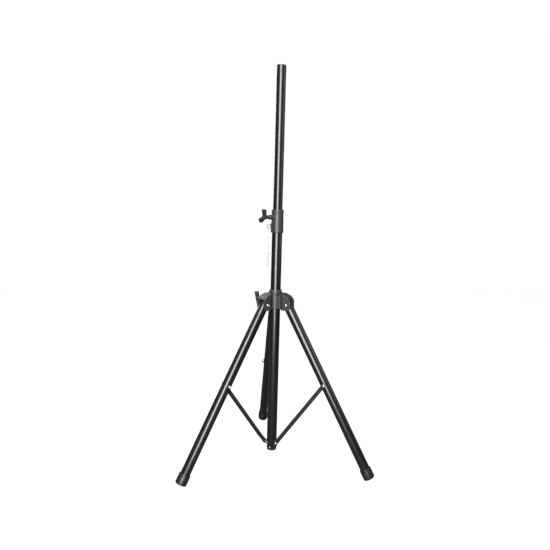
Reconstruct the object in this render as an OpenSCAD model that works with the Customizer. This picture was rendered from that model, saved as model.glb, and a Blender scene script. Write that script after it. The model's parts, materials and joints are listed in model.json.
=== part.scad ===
// Tripod stand for a PA speaker: a telescopic mast on three folding legs.
// Origin on the mast's axis at floor height, +Z up, the back leg along +Y.
// Shown as in use: legs spread, mast part way up, safety pin hanging.

/* [Mast] */
// Height of the upper tube's top above the floor
mast_top_z = 1470; // [1350:5:1550]
// Outer diameter of the upper tube, which is the speaker socket's size
upper_od = 35; // [34:0.5:36]
// Wall of the upper tube
upper_wall = 1.5; // [1.2:0.1:2]
// Length of the upper tube with its end plug
upper_len = 1000; // [900:10:1050]
// Length of tube that goes into a speaker's socket, up to a scribed line
spigot_len = 120; // [80:5:150]
// Outer diameter of the main tube
main_od = 38; // [37.8:0.1:38.4]
// Wall of the main tube
main_wall = 1.2; // [1:0.1:1.2]
// Height of the main tube's lower end
main_bottom_z = 44; // [40:1:60]
// Height of the main tube's upper end
main_top_z = 950; // [940:1:960]

/* [Collar] */
// Height of the collar's lower end
collar_bottom_z = 875; // [865:1:885]
// Height of the collar's upper end
collar_top_z = 960; // [958:1:965]
// Azimuth of the collar's clamp knob
collar_knob_az = 204; // [198:1:215]
// Height of the collar's clamp knob
collar_knob_z = 931; // [925:1:938]

/* [Safety pin] */
// Azimuth of the lug that carries the safety pin
pin_az = 157; // [150:1:160]
// Diameter of the safety pin
pin_d = 8; // [6:0.5:8]
// Length of the safety pin below its head
pin_len = 49; // [42:1:50]
// Length of the lanyard between its two ferrules' far ends
lanyard_len = 88; // [80:1:92]
// Diameter of the lanyard
lanyard_d = 1.6; // [1.2:0.1:1.8]

/* [Hub] */
// Height of the leg pivots
pivot_z = 609; // [600:1:620]
// Distance of the leg pivots from the mast's axis
pivot_r = 50; // [48:0.5:52]
// Azimuth of the hub's clamp knob
hub_knob_az = 150; // [145:1:155]

/* [Legs] */
// Outer diameter of a leg tube
leg_od = 35; // [32:0.5:35]
// Wall of a leg tube
leg_wall = 1.2; // [1:0.1:1.5]
// Angle of a leg from the vertical
leg_angle = 29.3; // [28:0.1:30]
// Distance along a leg from its pivot to its strut bolt
strut_bolt_at = 321; // [310:1:325]
// Outer diameter of a rubber foot
foot_od = 41.5; // [40:0.5:43]
// Length of a rubber foot
foot_len = 37; // [32:1:40]

/* [Struts] */
// Depth of a strut's flat bar
strut_depth = 15; // [13:0.5:16]
// Thickness of a strut's flat bar
strut_t = 4.2; // [3.5:0.1:4.4]
// Height of the strut pivots on the bottom hub
foot_pivot_z = 70; // [68:1:74]
// Distance of the strut pivots from the mast's axis
foot_pivot_r = 22.5; // [22.3:0.1:23]

/* [Hidden] */
$fn = 48;

// Azimuths of the three legs
az_left = 210;
az_right = 330;
az_back = 90;
leg_azimuths = [az_left, az_right, az_back];

// Clearances: running fits, fixed fits that only touch, and cuts that pass right through
running = 0.06;
cut = 1;

// Mast
upper_r = upper_od / 2;
upper_bore_r = upper_r - upper_wall;
upper_bottom_z = mast_top_z - upper_len;
main_r = main_od / 2;
main_bore_r = main_r - main_wall;
plug_lip = 1.5;
ball_r = 1.45;
pin_hole_r = pin_d / 2 + 0.25;
pin_hole_pitch = 90;
pin_hole_count = 6;
pin_hole_z0 = upper_bottom_z + pin_hole_pitch;
scribe_depth = 0.3;
scribe_width = 1;

// Clamp screws: hole radius, nut, screw and knob, all measured out from the mast's axis
pad_r = 4.5;
pad_hole_r = 4.9;
screw_r = 4;
nut_r = 7;
nut_len = 10;
boss_r = 9;
stem_r = 7;
stem_len = 12;
grip_end_r = 2.5;
grip_end_side = 5.5;
grip_reach = 25.5;
grip_sweep = 5;
grip_thick = 11;
grip_spread = 130;
collar_pad_from = upper_r + 0.02;
collar_boss_end = 35;
collar_grip_from = 49;
hub_pad_from = main_r + 0.02;
hub_boss_end = 50;
hub_grip_from = 68;
hub_knob_z = pivot_z + 12;

// Lug, ring and lanyard
lug_z = 902;
lug_end_reach = 26;
rib_r = 23.6;
lug_hole_d = 4.2;
ring_mean_r = 7.2;
ring_wire_r = 0.9;
lanyard_r = 34.6;
ring_r = lug_end_reach + 6.1;
ring_z = lug_z - 3.8;
lanyard_top_z = ring_z - 9.4;
ferrule_r = 1.7;
ferrule_len = 7;
lanyard_bottom_z = lanyard_top_z - lanyard_len;
pin_head_len = 7;
pin_head_r = 4.6;
pin_top_z = lanyard_bottom_z;

// Hub
hub_bottom_z = pivot_z - 17;
hub_flange_z = pivot_z + 36;
hub_sleeve_r = 21.5;
liner_r = 20;
flange_r = 24;
flange_h = 19;
ear_gap = leg_od + 1;
ear_t = 4.6;
arm_edge = 6;
arm_plan_r = 25.8;
slot_r = 22.7;
web_half = 10;
bolt_r = 4;
head_r = 6;
head_h = 3.4;

// Legs, measured down the leg from its pivot
leg_r = leg_od / 2;
leg_bore_r = leg_r - leg_wall;
leg_top = -12;
foot_r = foot_od / 2;
foot_edge = 4;
foot_end = foot_edge + (pivot_z - foot_edge - (foot_r - foot_edge) * sin(leg_angle)) / cos(leg_angle);
foot_sole = 5;
leg_end = foot_end - foot_sole;
washer_r = 9.5;
washer_t = 1.8;

// Struts: the line from the lower pivot to the bolt in the leg
bolt_x = pivot_r + strut_bolt_at * sin(leg_angle);
bolt_z = pivot_z - strut_bolt_at * cos(leg_angle);
strut_angle = atan2(bolt_x - foot_pivot_r, bolt_z - foot_pivot_z);
strut_len = norm([bolt_x - foot_pivot_r, bolt_z - foot_pivot_z]);
strut_top_side = leg_r + 0.8;
strut_foot_side = 13;
joggle_from = 12;
joggle_to = 38;
bar_groove_w = 5.5;
bar_groove_d = 1.1;

// Bottom hub: a plug in the main tube's end whose three lugs stand out through slots in the tube
bottom_z = 38;
bottom_top_z = 100;
bottom_rim_r = main_r - 0.3;
bottom_bore_r = 12;
lug_side = strut_foot_side - 0.2;
lug_t = 7.8;
lug_top_z = foot_pivot_z + 10;
lug_end_r = 5.5;
rivet_z = 50;
rivet_azimuths = [0, 120, 240];

black = [0.03, 0.03, 0.035];
plastic = [0.09, 0.09, 0.1];
rubber = [0.05, 0.05, 0.05];
chrome = [0.8, 0.8, 0.82];
brass = [0.75, 0.6, 0.3];

// A tube between two heights
module tube(outer, inner, low, high) {
    translate([0, 0, low]) difference() {
        cylinder(r = outer, h = high - low, $fn = 64);
        translate([0, 0, -cut]) cylinder(r = inner, h = high - low + 2 * cut, $fn = 64);
    }
}

// Places children on a horizontal axis that points away from the mast: local +Z is outward
module outward(az, z) {
    rotate([0, 0, az]) translate([0, 0, z]) rotate([0, 90, 0]) children();
}

// A cylinder along an outward axis, between two distances from the mast
module spoke(r, from, to) {
    translate([0, 0, from]) cylinder(r = r, h = to - from);
}

// Places children at a leg's pivot: local +Z runs down the leg and +Y is across it
module at_leg(az) {
    rotate([0, 0, az]) translate([pivot_r, 0, pivot_z]) rotate([0, 180 - leg_angle, 0]) children();
}

// Places children at a strut's lower pivot: local +Z runs up the strut and +Y is across it
module at_strut(az) {
    rotate([0, 0, az]) translate([foot_pivot_r, 0, foot_pivot_z]) rotate([0, strut_angle, 0]) children();
}

// A cylinder across a leg or strut, between two places on local Y
module across(r, from, to) {
    translate([0, from, 0]) rotate([-90, 0, 0]) cylinder(r = r, h = to - from);
}

// A low domed head across a leg or strut, standing from one place on local Y to another
module domed_head(r, from, to) {
    rise = to - from;
    side = sign(rise);
    translate([0, from, 0]) rotate([-90 * side, 0, 0]) rotate_extrude() polygon([
        [0, 0], [r, 0], [r, abs(rise) * 0.35],
        for (a = [15:15:75]) [r * (0.45 + 0.55 * cos(a)), abs(rise) * (0.35 + 0.65 * sin(a))],
        [0, abs(rise)]
    ]);
}

// ---- Upper mast ----

module upper_tube() {
    color(black) difference() {
        tube(upper_r, upper_bore_r, upper_bottom_z, mast_top_z - plug_lip);
        for (i = [0:pin_hole_count - 1])
            translate([0, 0, pin_hole_z0 + i * pin_hole_pitch]) rotate([0, 90, 0])
                cylinder(r = pin_hole_r, h = upper_od + 2 * cut, center = true);
        translate([0, 0, mast_top_z - spigot_len - scribe_width]) difference() {
            cylinder(r = upper_r + cut, h = scribe_width);
            translate([0, 0, -cut]) cylinder(r = upper_r - scribe_depth, h = scribe_width + 2 * cut);
        }
    }
}

module upper_tube_top_plug() {
    color(plastic) union() {
        translate([0, 0, mast_top_z - plug_lip]) cylinder(r = upper_r - 0.3, h = plug_lip);
        translate([0, 0, mast_top_z - 20]) cylinder(r = upper_bore_r, h = 20 - plug_lip);
    }
}

// Nylon glide pressed into the upper tube's lower end, which runs in the main tube
module upper_tube_glide() {
    color(plastic) difference() {
        union() {
            translate([0, 0, upper_bottom_z - 14]) cylinder(r = main_bore_r - running, h = 14);
            translate([0, 0, upper_bottom_z]) cylinder(r = upper_bore_r, h = 25);
        }
        translate([0, 0, upper_bottom_z - 14 - cut]) cylinder(r = upper_bore_r - 3, h = 45);
    }
}

// ---- Main tube and collar ----

module main_tube() {
    color(black) difference() {
        tube(main_r, main_bore_r, main_bottom_z, main_top_z);
        outward(collar_knob_az, collar_knob_z) spoke(pad_hole_r, 0, main_od);
        for (az = leg_azimuths) rotate([0, 0, az]) lug_slot(main_r, cut);
        for (az = rivet_azimuths) outward(az, rivet_z) spoke(2, 0, main_od);
    }
}

module clamp_collar() {
    color(plastic) difference() {
        union() {
            translate([0, 0, collar_bottom_z]) rotate_extrude($fn = 64) polygon([
                [main_r - cut, 0], [22.2, 0], [23, 1.5], [23, 9], [22.6, 10],
                [21.7, 72], [22.4, 73], [22.4, 83], [21.4, collar_top_z - collar_bottom_z],
                [main_r - cut, collar_top_z - collar_bottom_z]
            ]);
            outward(collar_knob_az, collar_knob_z) spoke(boss_r, main_r, collar_boss_end);
            rotate([0, 0, pin_az]) translate([main_r, -6, collar_bottom_z + 3]) cube([rib_r - main_r, 12, lug_z - collar_bottom_z + 6]);
            rotate([0, 0, pin_az]) translate([main_r, 0, lug_z - 1.5]) hull() {
                translate([0, -6, 0]) cube([2, 12, 3]);
                translate([lug_end_reach - main_r, 0, 0]) cylinder(d = lug_hole_d + 4.4, h = 3, $fn = 32);
            }
        }
        translate([0, 0, collar_bottom_z - cut]) cylinder(r = main_r, h = main_top_z - collar_bottom_z + cut, $fn = 64);
        translate([0, 0, main_top_z]) cylinder(r = liner_r, h = 20, $fn = 64);
        outward(collar_knob_az, collar_knob_z) spoke(pad_hole_r, 0, collar_boss_end + cut);
        outward(collar_knob_az, collar_knob_z) spoke(nut_r, collar_boss_end - nut_len, collar_boss_end + cut);
        rotate([0, 0, pin_az]) translate([lug_end_reach, 0, lug_z]) cylinder(d = lug_hole_d, h = 5, center = true, $fn = 24);
    }
}

module collar_bush() {
    color(plastic) tube(liner_r, upper_r + running, main_top_z, collar_top_z - 0.5);
}

// Threaded insert, drawn with a plain bore
module clamp_nut(az, z, from, to) {
    color(brass) outward(az, z) difference() {
        spoke(nut_r, from, to);
        spoke(screw_r + running, from - cut, to + cut);
    }
}

module clamp_pad(az, z, from) {
    color(brass) outward(az, z) spoke(pad_r, from, from + 3);
}

module clamp_screw(az, z, from, to) {
    color(chrome) outward(az, z) spoke(screw_r, from, to);
}

// Grip with two flat-ended wings swept outward from a round stem; turn sets the first wing about the screw
module clamp_knob(az, z, grip_from, turn) {
    stem_from = grip_from - stem_len;
    color(plastic) outward(az, z) difference() {
        union() {
            spoke(stem_r, stem_from, grip_from + grip_thick);
            for (wing = [turn, turn + grip_spread]) rotate([0, 0, wing]) hull() {
                spoke(stem_r - 0.5, grip_from, grip_from + grip_thick - 1, $fn = 32);
                for (side = [-1, 1]) translate([grip_reach, side * grip_end_side, grip_sweep])
                    spoke(grip_end_r, grip_from, grip_from + grip_thick, $fn = 32);
            }
        }
        spoke(screw_r, stem_from - cut, grip_from + 4);
    }
}

module collar_clamp_nut() {
    clamp_nut(collar_knob_az, collar_knob_z, collar_boss_end - nut_len, collar_boss_end - 0.5);
}

module collar_clamp_pad() {
    clamp_pad(collar_knob_az, collar_knob_z, collar_pad_from);
}

module collar_clamp_screw() {
    clamp_screw(collar_knob_az, collar_knob_z, collar_pad_from + 3, collar_grip_from + 4);
}

module collar_clamp_knob() {
    clamp_knob(collar_knob_az, collar_knob_z, collar_grip_from, 171);
}

// ---- Safety pin on its lanyard ----

// Split ring through the lug, with its two turns drawn side by side
module split_ring() {
    color(chrome) rotate([0, 0, pin_az]) translate([ring_r, 0, ring_z]) rotate([90, 0, 0])
        rotate_extrude() for (side = [-1, 1])
            translate([ring_mean_r, side * ring_wire_r * 0.6]) circle(r = ring_wire_r * 0.6, $fn = 16);
}

// Steel cord: it hangs down from the ring with a slight bow, from floor to floor of the ferrules' bores
lanyard_route = [
    for (i = [0:20])
        [lanyard_r + 0.6 * pow(sin(9 * i), 2), 0, lanyard_top_z - 1 - (lanyard_len - 2) * i / 20]
];

module swept_cord(route, d, sides) {
    n = len(route);
    function along(i) = route[min(i + 1, n - 1)] - route[max(i - 1, 0)];
    function tangent(i) = along(i) / norm(along(i));
    function side_a(i) = cross(tangent(i), [0, 1, 0]) / norm(cross(tangent(i), [0, 1, 0]));
    function side_b(i) = cross(tangent(i), side_a(i));
    polyhedron(
        points = [
            for (i = [0:n - 1], k = [0:sides - 1])
                route[i] + d / 2 * (cos(360 * k / sides) * side_a(i) + sin(360 * k / sides) * side_b(i))
        ],
        faces = [
            [for (k = [sides - 1:-1:0]) k],
            for (i = [0:n - 2], k = [0:sides - 1])
                [i * sides + k, i * sides + (k + 1) % sides, (i + 1) * sides + (k + 1) % sides, (i + 1) * sides + k],
            [for (k = [0:sides - 1]) (n - 1) * sides + k]
        ]
    );
}

module lanyard() {
    color(chrome) rotate([0, 0, pin_az]) swept_cord(lanyard_route, lanyard_d, 8);
}

// Crimped sleeve, closed at one end, with its bore starting at bore_from
module ferrule(low, bore_from) {
    translate([lanyard_r, 0, low]) difference() {
        cylinder(r = ferrule_r, h = ferrule_len, $fn = 24);
        translate([0, 0, bore_from]) cylinder(r = lanyard_d / 2 + 0.1, h = ferrule_len);
    }
}

// The top one ends in an eye around the split ring
module lanyard_top_ferrule() {
    color(chrome) rotate([0, 0, pin_az]) union() {
        ferrule(lanyard_top_z - ferrule_len, -1);
        translate([lanyard_r, 0, lanyard_top_z + 2.6]) rotate([0, 90, 0])
            rotate_extrude() translate([2.4, 0]) circle(r = 0.7, $fn = 16);
    }
}

module lanyard_bottom_ferrule() {
    color(chrome) rotate([0, 0, pin_az]) ferrule(lanyard_bottom_z, 1);
}

module safety_pin() {
    color(chrome) rotate([0, 0, pin_az]) translate([lanyard_r, 0, pin_top_z]) difference() {
        mirror([0, 0, 1]) rotate_extrude() polygon([
            [0, 0], [2.5, 0], [pin_head_r, 2], [pin_head_r, 5], [2.8, 6.5], [pin_d / 2, pin_head_len],
            [pin_d / 2, pin_head_len + pin_len - 2], [pin_d / 2 - 1.5, pin_head_len + pin_len], [0, pin_head_len + pin_len]
        ]);
        translate([1, 0, -pin_head_len - pin_len + 8]) rotate([0, 90, 0]) cylinder(r = ball_r + 0.05, h = pin_d / 2 + cut);
    }
}

module safety_pin_detent_ball() {
    color(chrome) rotate([0, 0, pin_az]) translate([lanyard_r + pin_d / 2 - 0.9, 0, pin_top_z - pin_head_len - pin_len + 8])
        sphere(r = ball_r, $fn = 24);
}

// ---- Sliding hub ----

// Side profile of one arm: distance from the mast along X, height along Y
module arm_profile() {
    offset(r = arm_edge) offset(delta = -arm_edge) polygon([
        [8, hub_bottom_z], [8, hub_flange_z + 9], [31, hub_flange_z + 7], [54, hub_flange_z - 3], [64, hub_flange_z - 13],
        [68.5, pivot_z + 12], [67.5, pivot_z - 9], [61, pivot_z - 18], [50, pivot_z - 20], [32, hub_bottom_z - 2]
    ]);
}

// Plan of an arm or of the slot in it: round the leg's end, with straight sides outward of the pivot
module around_leg(r, low, high) {
    translate([pivot_r, 0, low]) cylinder(r = r, h = high - low, $fn = 64);
    translate([pivot_r, -r, low]) cube([r, 2 * r, high - low]);
}

module leg_hub() {
    low = hub_bottom_z - 10;
    high = hub_flange_z + 20;
    color(plastic) difference() {
        union() {
            translate([0, 0, hub_bottom_z]) cylinder(r = hub_sleeve_r, h = hub_flange_z - hub_bottom_z, $fn = 64);
            for (az = leg_azimuths) rotate([0, 0, az]) intersection() {
                translate([0, ear_gap / 2 + ear_t, 0]) rotate([90, 0, 0])
                    linear_extrude(ear_gap + 2 * ear_t) arm_profile();
                union() {
                    around_leg(arm_plan_r, low, high);
                    translate([0, -web_half, low]) cube([pivot_r, 2 * web_half, high - low]);
                }
            }
            outward(hub_knob_az, hub_knob_z) spoke(boss_r, main_r, hub_boss_end);
        }
        // Slot that each leg's top end turns in, open below and at its tip
        for (az = leg_azimuths) rotate([0, 0, az]) intersection() {
            union() {
                translate([hub_sleeve_r + 1.5, -ear_gap / 2, low]) cube([60, ear_gap, 40]);
                translate([pivot_r, ear_gap / 2, pivot_z]) rotate([90, 0, 0]) cylinder(r = slot_r + 2, h = ear_gap);
                translate([pivot_r, -ear_gap / 2, pivot_z - 20]) cube([40, ear_gap, 37]);
            }
            around_leg(slot_r, low, high);
        }
        // The flange ring sits on the sleeve
        translate([0, 0, hub_flange_z]) cylinder(r = flange_r + 0.1, h = 30, $fn = 64);
        rotate([0, 0, 20]) translate([0, 0, hub_bottom_z - 30]) cylinder(r = liner_r, h = 120, $fn = 64);
        outward(hub_knob_az, hub_knob_z) spoke(pad_hole_r, 0, hub_boss_end + cut);
        outward(hub_knob_az, hub_knob_z) spoke(nut_r, hub_boss_end - nut_len, hub_boss_end + cut);
        for (az = leg_azimuths) rotate([0, 0, az]) translate([pivot_r, 0, pivot_z])
            across(bolt_r, -60, 60);
    }
}

module hub_top_ring() {
    color(plastic) translate([0, 0, hub_flange_z]) rotate_extrude($fn = 64) polygon([
        [main_r + 0.3, 0], [flange_r, 0], [flange_r, flange_h - 6], [flange_r - 0.8, flange_h - 4],
        [22, flange_h - 3], [22, flange_h - 0.8], [21.2, flange_h], [main_r + 0.3, flange_h]
    ]);
}

module hub_liner() {
    color(plastic) difference() {
        tube(liner_r, main_r + running, hub_bottom_z, hub_flange_z);
        outward(hub_knob_az, hub_knob_z) spoke(pad_hole_r, 0, 30);
    }
}

module hub_clamp_nut() {
    clamp_nut(hub_knob_az, hub_knob_z, hub_boss_end - nut_len, hub_boss_end - 0.5);
}

module hub_clamp_pad() {
    clamp_pad(hub_knob_az, hub_knob_z, hub_pad_from);
}

module hub_clamp_screw() {
    clamp_screw(hub_knob_az, hub_knob_z, hub_pad_from + 3, hub_grip_from + 4);
}

module hub_clamp_knob() {
    clamp_knob(hub_knob_az, hub_knob_z, hub_grip_from, 180);
}

module leg_pivot_bolts() {
    ear_face = ear_gap / 2 + ear_t;
    color(chrome) for (az = leg_azimuths) rotate([0, 0, az]) translate([pivot_r, 0, pivot_z]) union() {
        across(bolt_r, -ear_face, ear_face);
        domed_head(head_r, ear_face, ear_face + head_h);
    }
}

module leg_pivot_nuts() {
    ear_face = ear_gap / 2 + ear_t;
    color(chrome) for (az = leg_azimuths) rotate([0, 0, az]) translate([pivot_r, 0, pivot_z])
        domed_head(head_r, -ear_face, -ear_face - head_h);
}

// ---- Legs ----

module leg_tube(az) {
    color(black) at_leg(az) difference() {
        tube(leg_r, leg_bore_r, leg_top, leg_end);
        across(bolt_r + running, -leg_od, leg_od);
        translate([0, 0, strut_bolt_at]) across(bolt_r + running, -leg_od, leg_od);
    }
}

module leg_top_plug(az) {
    color(plastic) at_leg(az) difference() {
        union() {
            translate([0, 0, leg_top - plug_lip]) cylinder(r = leg_r - 0.2, h = plug_lip);
            translate([0, 0, leg_top]) cylinder(r = leg_bore_r, h = 30);
        }
        across(bolt_r + running, -leg_od, leg_od);
    }
}

// Rubber cap with a rounded tread edge and one groove near its mouth
module foot(az) {
    color(rubber) at_leg(az) translate([0, 0, foot_end]) mirror([0, 0, 1]) difference() {
        rotate_extrude($fn = 64) polygon([
            [0, 0],
            for (a = [0:15:90]) [foot_r - foot_edge + foot_edge * sin(a), foot_edge - foot_edge * cos(a)],
            [foot_r, foot_len - 10], [foot_r - 0.9, foot_len - 9.2], [foot_r - 0.9, foot_len - 7.4],
            [foot_r, foot_len - 6.6], [foot_r, foot_len - 1], [foot_r - 1, foot_len], [0, foot_len]
        ]);
        translate([0, 0, foot_sole]) cylinder(r = leg_r, h = foot_len, $fn = 64);
    }
}

// Bolt through the leg: it ends flush on the strut's side, because the strut carries the other head
module leg_bolt(az) {
    color(chrome) at_leg(az) translate([0, 0, strut_bolt_at]) union() {
        across(bolt_r, -leg_r - 0.4, leg_r + washer_t + 0.2);
        domed_head(head_r, leg_r + washer_t, leg_r + 8);
    }
}

module leg_washer(az) {
    color(plastic) at_leg(az) translate([0, 0, strut_bolt_at]) difference() {
        across(washer_r, leg_r, leg_r + washer_t);
        across(bolt_r + running, -leg_od, leg_od);
    }
}

// ---- Struts ----

// Flat bar with rounded ends, joggled outward above its lower pivot, grooved on both faces
module strut(az) {
    top_y = -strut_top_side;
    foot_y = -strut_foot_side;
    color(black) at_strut(az) difference() {
        union() {
            across_bar(foot_y, [0, 0], [0, joggle_from]);
            rotate([90, 0, 90]) translate([0, 0, -strut_depth / 2]) linear_extrude(strut_depth) polygon([
                [foot_y, joggle_from], [top_y, joggle_to], [top_y, joggle_to + 1],
                [top_y - strut_t, joggle_to + 1], [top_y - strut_t, joggle_to],
                [foot_y - strut_t, joggle_from], [foot_y - strut_t, joggle_from - 1], [foot_y, joggle_from - 1]
            ]);
            across_bar(top_y, [0, joggle_to], [0, strut_len]);
        }
        across(bolt_r + running, -40, 0);
        translate([0, 0, strut_len]) across(bolt_r, -40, 0);
        for (y = [top_y + bar_groove_d, top_y - strut_t + bar_groove_d])
            translate([-bar_groove_w / 2, y - 2 * bar_groove_d, joggle_to + 12])
                cube([bar_groove_w, 2 * bar_groove_d, strut_len - joggle_to - 30]);
    }
}

// One straight length of the strut's bar on the clockwise side of face_y, with a rounded end
module across_bar(face_y, from, to) {
    low = from[1];
    high = to[1];
    union() {
        translate([-strut_depth / 2, face_y - strut_t, low]) cube([strut_depth, strut_t, high - low]);
        translate([0, 0, low == 0 ? 0 : high]) across(strut_depth / 2, face_y - strut_t, face_y);
    }
}

// Head and short stub of the open pivot, riding on the strut
module strut_bolt_head(az) {
    outer = -strut_top_side - strut_t;
    color(chrome) at_strut(az) translate([0, 0, strut_len]) union() {
        across(bolt_r, outer, -strut_top_side - 0.1);
        domed_head(head_r, outer, outer - head_h);
    }
}

// ---- Bottom hub ----

// The space that a lug takes in the main tube's slot, from its lower end up
module lug_slot(reach, past) {
    translate([bottom_bore_r + 1, -lug_side, main_bottom_z - past])
        cube([reach - bottom_bore_r, lug_t, lug_top_z - main_bottom_z + past]);
}

module bottom_hub() {
    color(plastic) difference() {
        union() {
            translate([0, 0, bottom_z]) rotate_extrude($fn = 64) polygon([
                [0, 0],
                for (a = [0:18:90]) [bottom_rim_r - 3 + 3 * sin(a), 3 - 3 * cos(a)],
                [bottom_rim_r, main_bottom_z - bottom_z], [main_bore_r, main_bottom_z - bottom_z],
                [main_bore_r, bottom_top_z - bottom_z - 1], [main_bore_r - 1, bottom_top_z - bottom_z], [0, bottom_top_z - bottom_z]
            ]);
            for (az = leg_azimuths) rotate([0, 0, az]) {
                intersection() {
                    lug_slot(main_r, 0);
                    cylinder(r = main_r, h = main_od * 3, $fn = 64);
                }
                hull() {
                    translate([foot_pivot_r, 0, foot_pivot_z]) across(lug_end_r, -lug_side, lug_t - lug_side, $fn = 32);
                    translate([bottom_bore_r + 1, -lug_side, foot_pivot_z - 8]) cube([1, lug_t, 16]);
                }
            }
        }
        translate([0, 0, bottom_z - cut]) cylinder(r = bottom_bore_r, h = bottom_top_z);
        for (az = leg_azimuths) rotate([0, 0, az]) translate([foot_pivot_r, 0, foot_pivot_z])
            across(bolt_r, -30, 10);
        for (az = rivet_azimuths) outward(az, rivet_z) spoke(2, bottom_bore_r + 2, main_r + cut);
    }
}

module mast_end_plug() {
    color(plastic) translate([0, 0, bottom_z + 1]) cylinder(r = bottom_bore_r, h = 12);
}

module strut_pivot_bolts() {
    strut_face = -strut_foot_side - strut_t;
    color(chrome) for (az = leg_azimuths) rotate([0, 0, az]) translate([foot_pivot_r, 0, foot_pivot_z]) union() {
        across(bolt_r, strut_face - 0.2, lug_t - lug_side);
        domed_head(5, strut_face - 0.2, strut_face - 3);
        domed_head(3.5, lug_t - lug_side, lug_t - lug_side + 2);
    }
}

module bottom_hub_rivets() {
    color(chrome) for (az = rivet_azimuths) outward(az, rivet_z) union() {
        spoke(2, bottom_bore_r + 2, main_r + 0.4);
        translate([0, 0, main_r + 0.1]) rotate_extrude() polygon([
            [0, 0], [3.6, 0], for (a = [0:15:75]) [3.6 * cos(a), 0.5 + 1.5 * sin(a)], [0, 2]
        ]);
    }
}

upper_tube();
upper_tube_top_plug();
upper_tube_glide();
main_tube();
clamp_collar();
collar_bush();
collar_clamp_nut();
collar_clamp_pad();
collar_clamp_screw();
collar_clamp_knob();
split_ring();
lanyard();
lanyard_top_ferrule();
lanyard_bottom_ferrule();
safety_pin();
safety_pin_detent_ball();
leg_hub();
hub_top_ring();
hub_liner();
hub_clamp_nut();
hub_clamp_pad();
hub_clamp_screw();
hub_clamp_knob();
leg_pivot_bolts();
leg_pivot_nuts();
leg_tube(az_left);  // leg_tube_left
leg_tube(az_right);  // leg_tube_right
leg_tube(az_back);  // leg_tube_back
leg_top_plug(az_left);  // leg_top_plug_left
leg_top_plug(az_right);  // leg_top_plug_right
leg_top_plug(az_back);  // leg_top_plug_back
foot(az_left);  // foot_left
foot(az_right);  // foot_right
foot(az_back);  // foot_back
leg_bolt(az_left);  // leg_bolt_left
leg_bolt(az_right);  // leg_bolt_right
leg_bolt(az_back);  // leg_bolt_back
leg_washer(az_left);  // leg_washer_left
leg_washer(az_right);  // leg_washer_right
leg_washer(az_back);  // leg_washer_back
strut(az_left);  // strut_left
strut(az_right);  // strut_right
strut(az_back);  // strut_back
strut_bolt_head(az_left);  // strut_bolt_head_left
strut_bolt_head(az_right);  // strut_bolt_head_right
strut_bolt_head(az_back);  // strut_bolt_head_back
bottom_hub();
mast_end_plug();
strut_pivot_bolts();
bottom_hub_rivets();
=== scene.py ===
import json
import math
import bpy
import bmesh
from mathutils import Matrix, Vector


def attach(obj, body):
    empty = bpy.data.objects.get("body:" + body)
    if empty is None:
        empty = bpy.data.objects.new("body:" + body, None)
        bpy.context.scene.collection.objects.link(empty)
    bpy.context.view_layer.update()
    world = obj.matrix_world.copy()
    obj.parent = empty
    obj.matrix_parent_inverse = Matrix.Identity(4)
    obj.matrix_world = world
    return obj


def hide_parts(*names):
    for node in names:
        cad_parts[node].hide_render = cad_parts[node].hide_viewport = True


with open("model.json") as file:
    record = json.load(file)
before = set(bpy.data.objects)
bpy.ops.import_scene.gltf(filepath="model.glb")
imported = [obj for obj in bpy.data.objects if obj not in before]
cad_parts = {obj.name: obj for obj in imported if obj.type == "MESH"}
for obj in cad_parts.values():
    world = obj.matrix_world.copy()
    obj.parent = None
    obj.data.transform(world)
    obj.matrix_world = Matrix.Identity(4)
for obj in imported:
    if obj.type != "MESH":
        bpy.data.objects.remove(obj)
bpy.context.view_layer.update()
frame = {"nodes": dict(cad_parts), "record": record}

scene = bpy.context.scene
mm = 0.001
legAngles = {"left": 210, "right": 330, "back": 90}


# camera

camera = {"place": (-0.2161, -1.8927, 0.938), "turn": 6.4, "dip": 6.61, "roll": 1.49, "lens": 33.62}


def placeCamera(s):
    turn, dip, roll = (math.radians(s[k]) for k in ("turn", "dip", "roll"))
    ahead = Vector((math.sin(turn) * math.cos(dip), math.cos(turn) * math.cos(dip), -math.sin(dip)))
    right = Vector((math.cos(turn), -math.sin(turn), 0))
    up = right.cross(ahead)
    tiltedRight = right * math.cos(roll) + up * math.sin(roll)
    tiltedUp = up * math.cos(roll) - right * math.sin(roll)
    data = bpy.data.cameras.new("studioCamera")
    data.lens = s["lens"]
    data.clip_start, data.clip_end = 0.02, 60
    view = bpy.data.objects.new("studioCamera", data)
    scene.collection.objects.link(view)
    turned = Matrix((tiltedRight, tiltedUp, -ahead)).transposed().to_4x4()
    view.matrix_world = Matrix.Translation(s["place"]) @ turned
    scene.camera = view


placeCamera(camera)
print("camera placed")


# mesh helpers: every form is a pair of vertex and face lists in millimetres

def turnZ(degrees):
    return Matrix.Rotation(math.radians(degrees), 4, "Z")


def turnY(degrees):
    return Matrix.Rotation(math.radians(degrees), 4, "Y")


def turnX(degrees):
    return Matrix.Rotation(math.radians(degrees), 4, "X")


def shift(x, y, z):
    return Matrix.Translation((x, y, z))


def outward(azimuth, z):  # local +Z points away from the mast
    return turnZ(azimuth) @ shift(0, 0, z) @ turnY(90)


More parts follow.
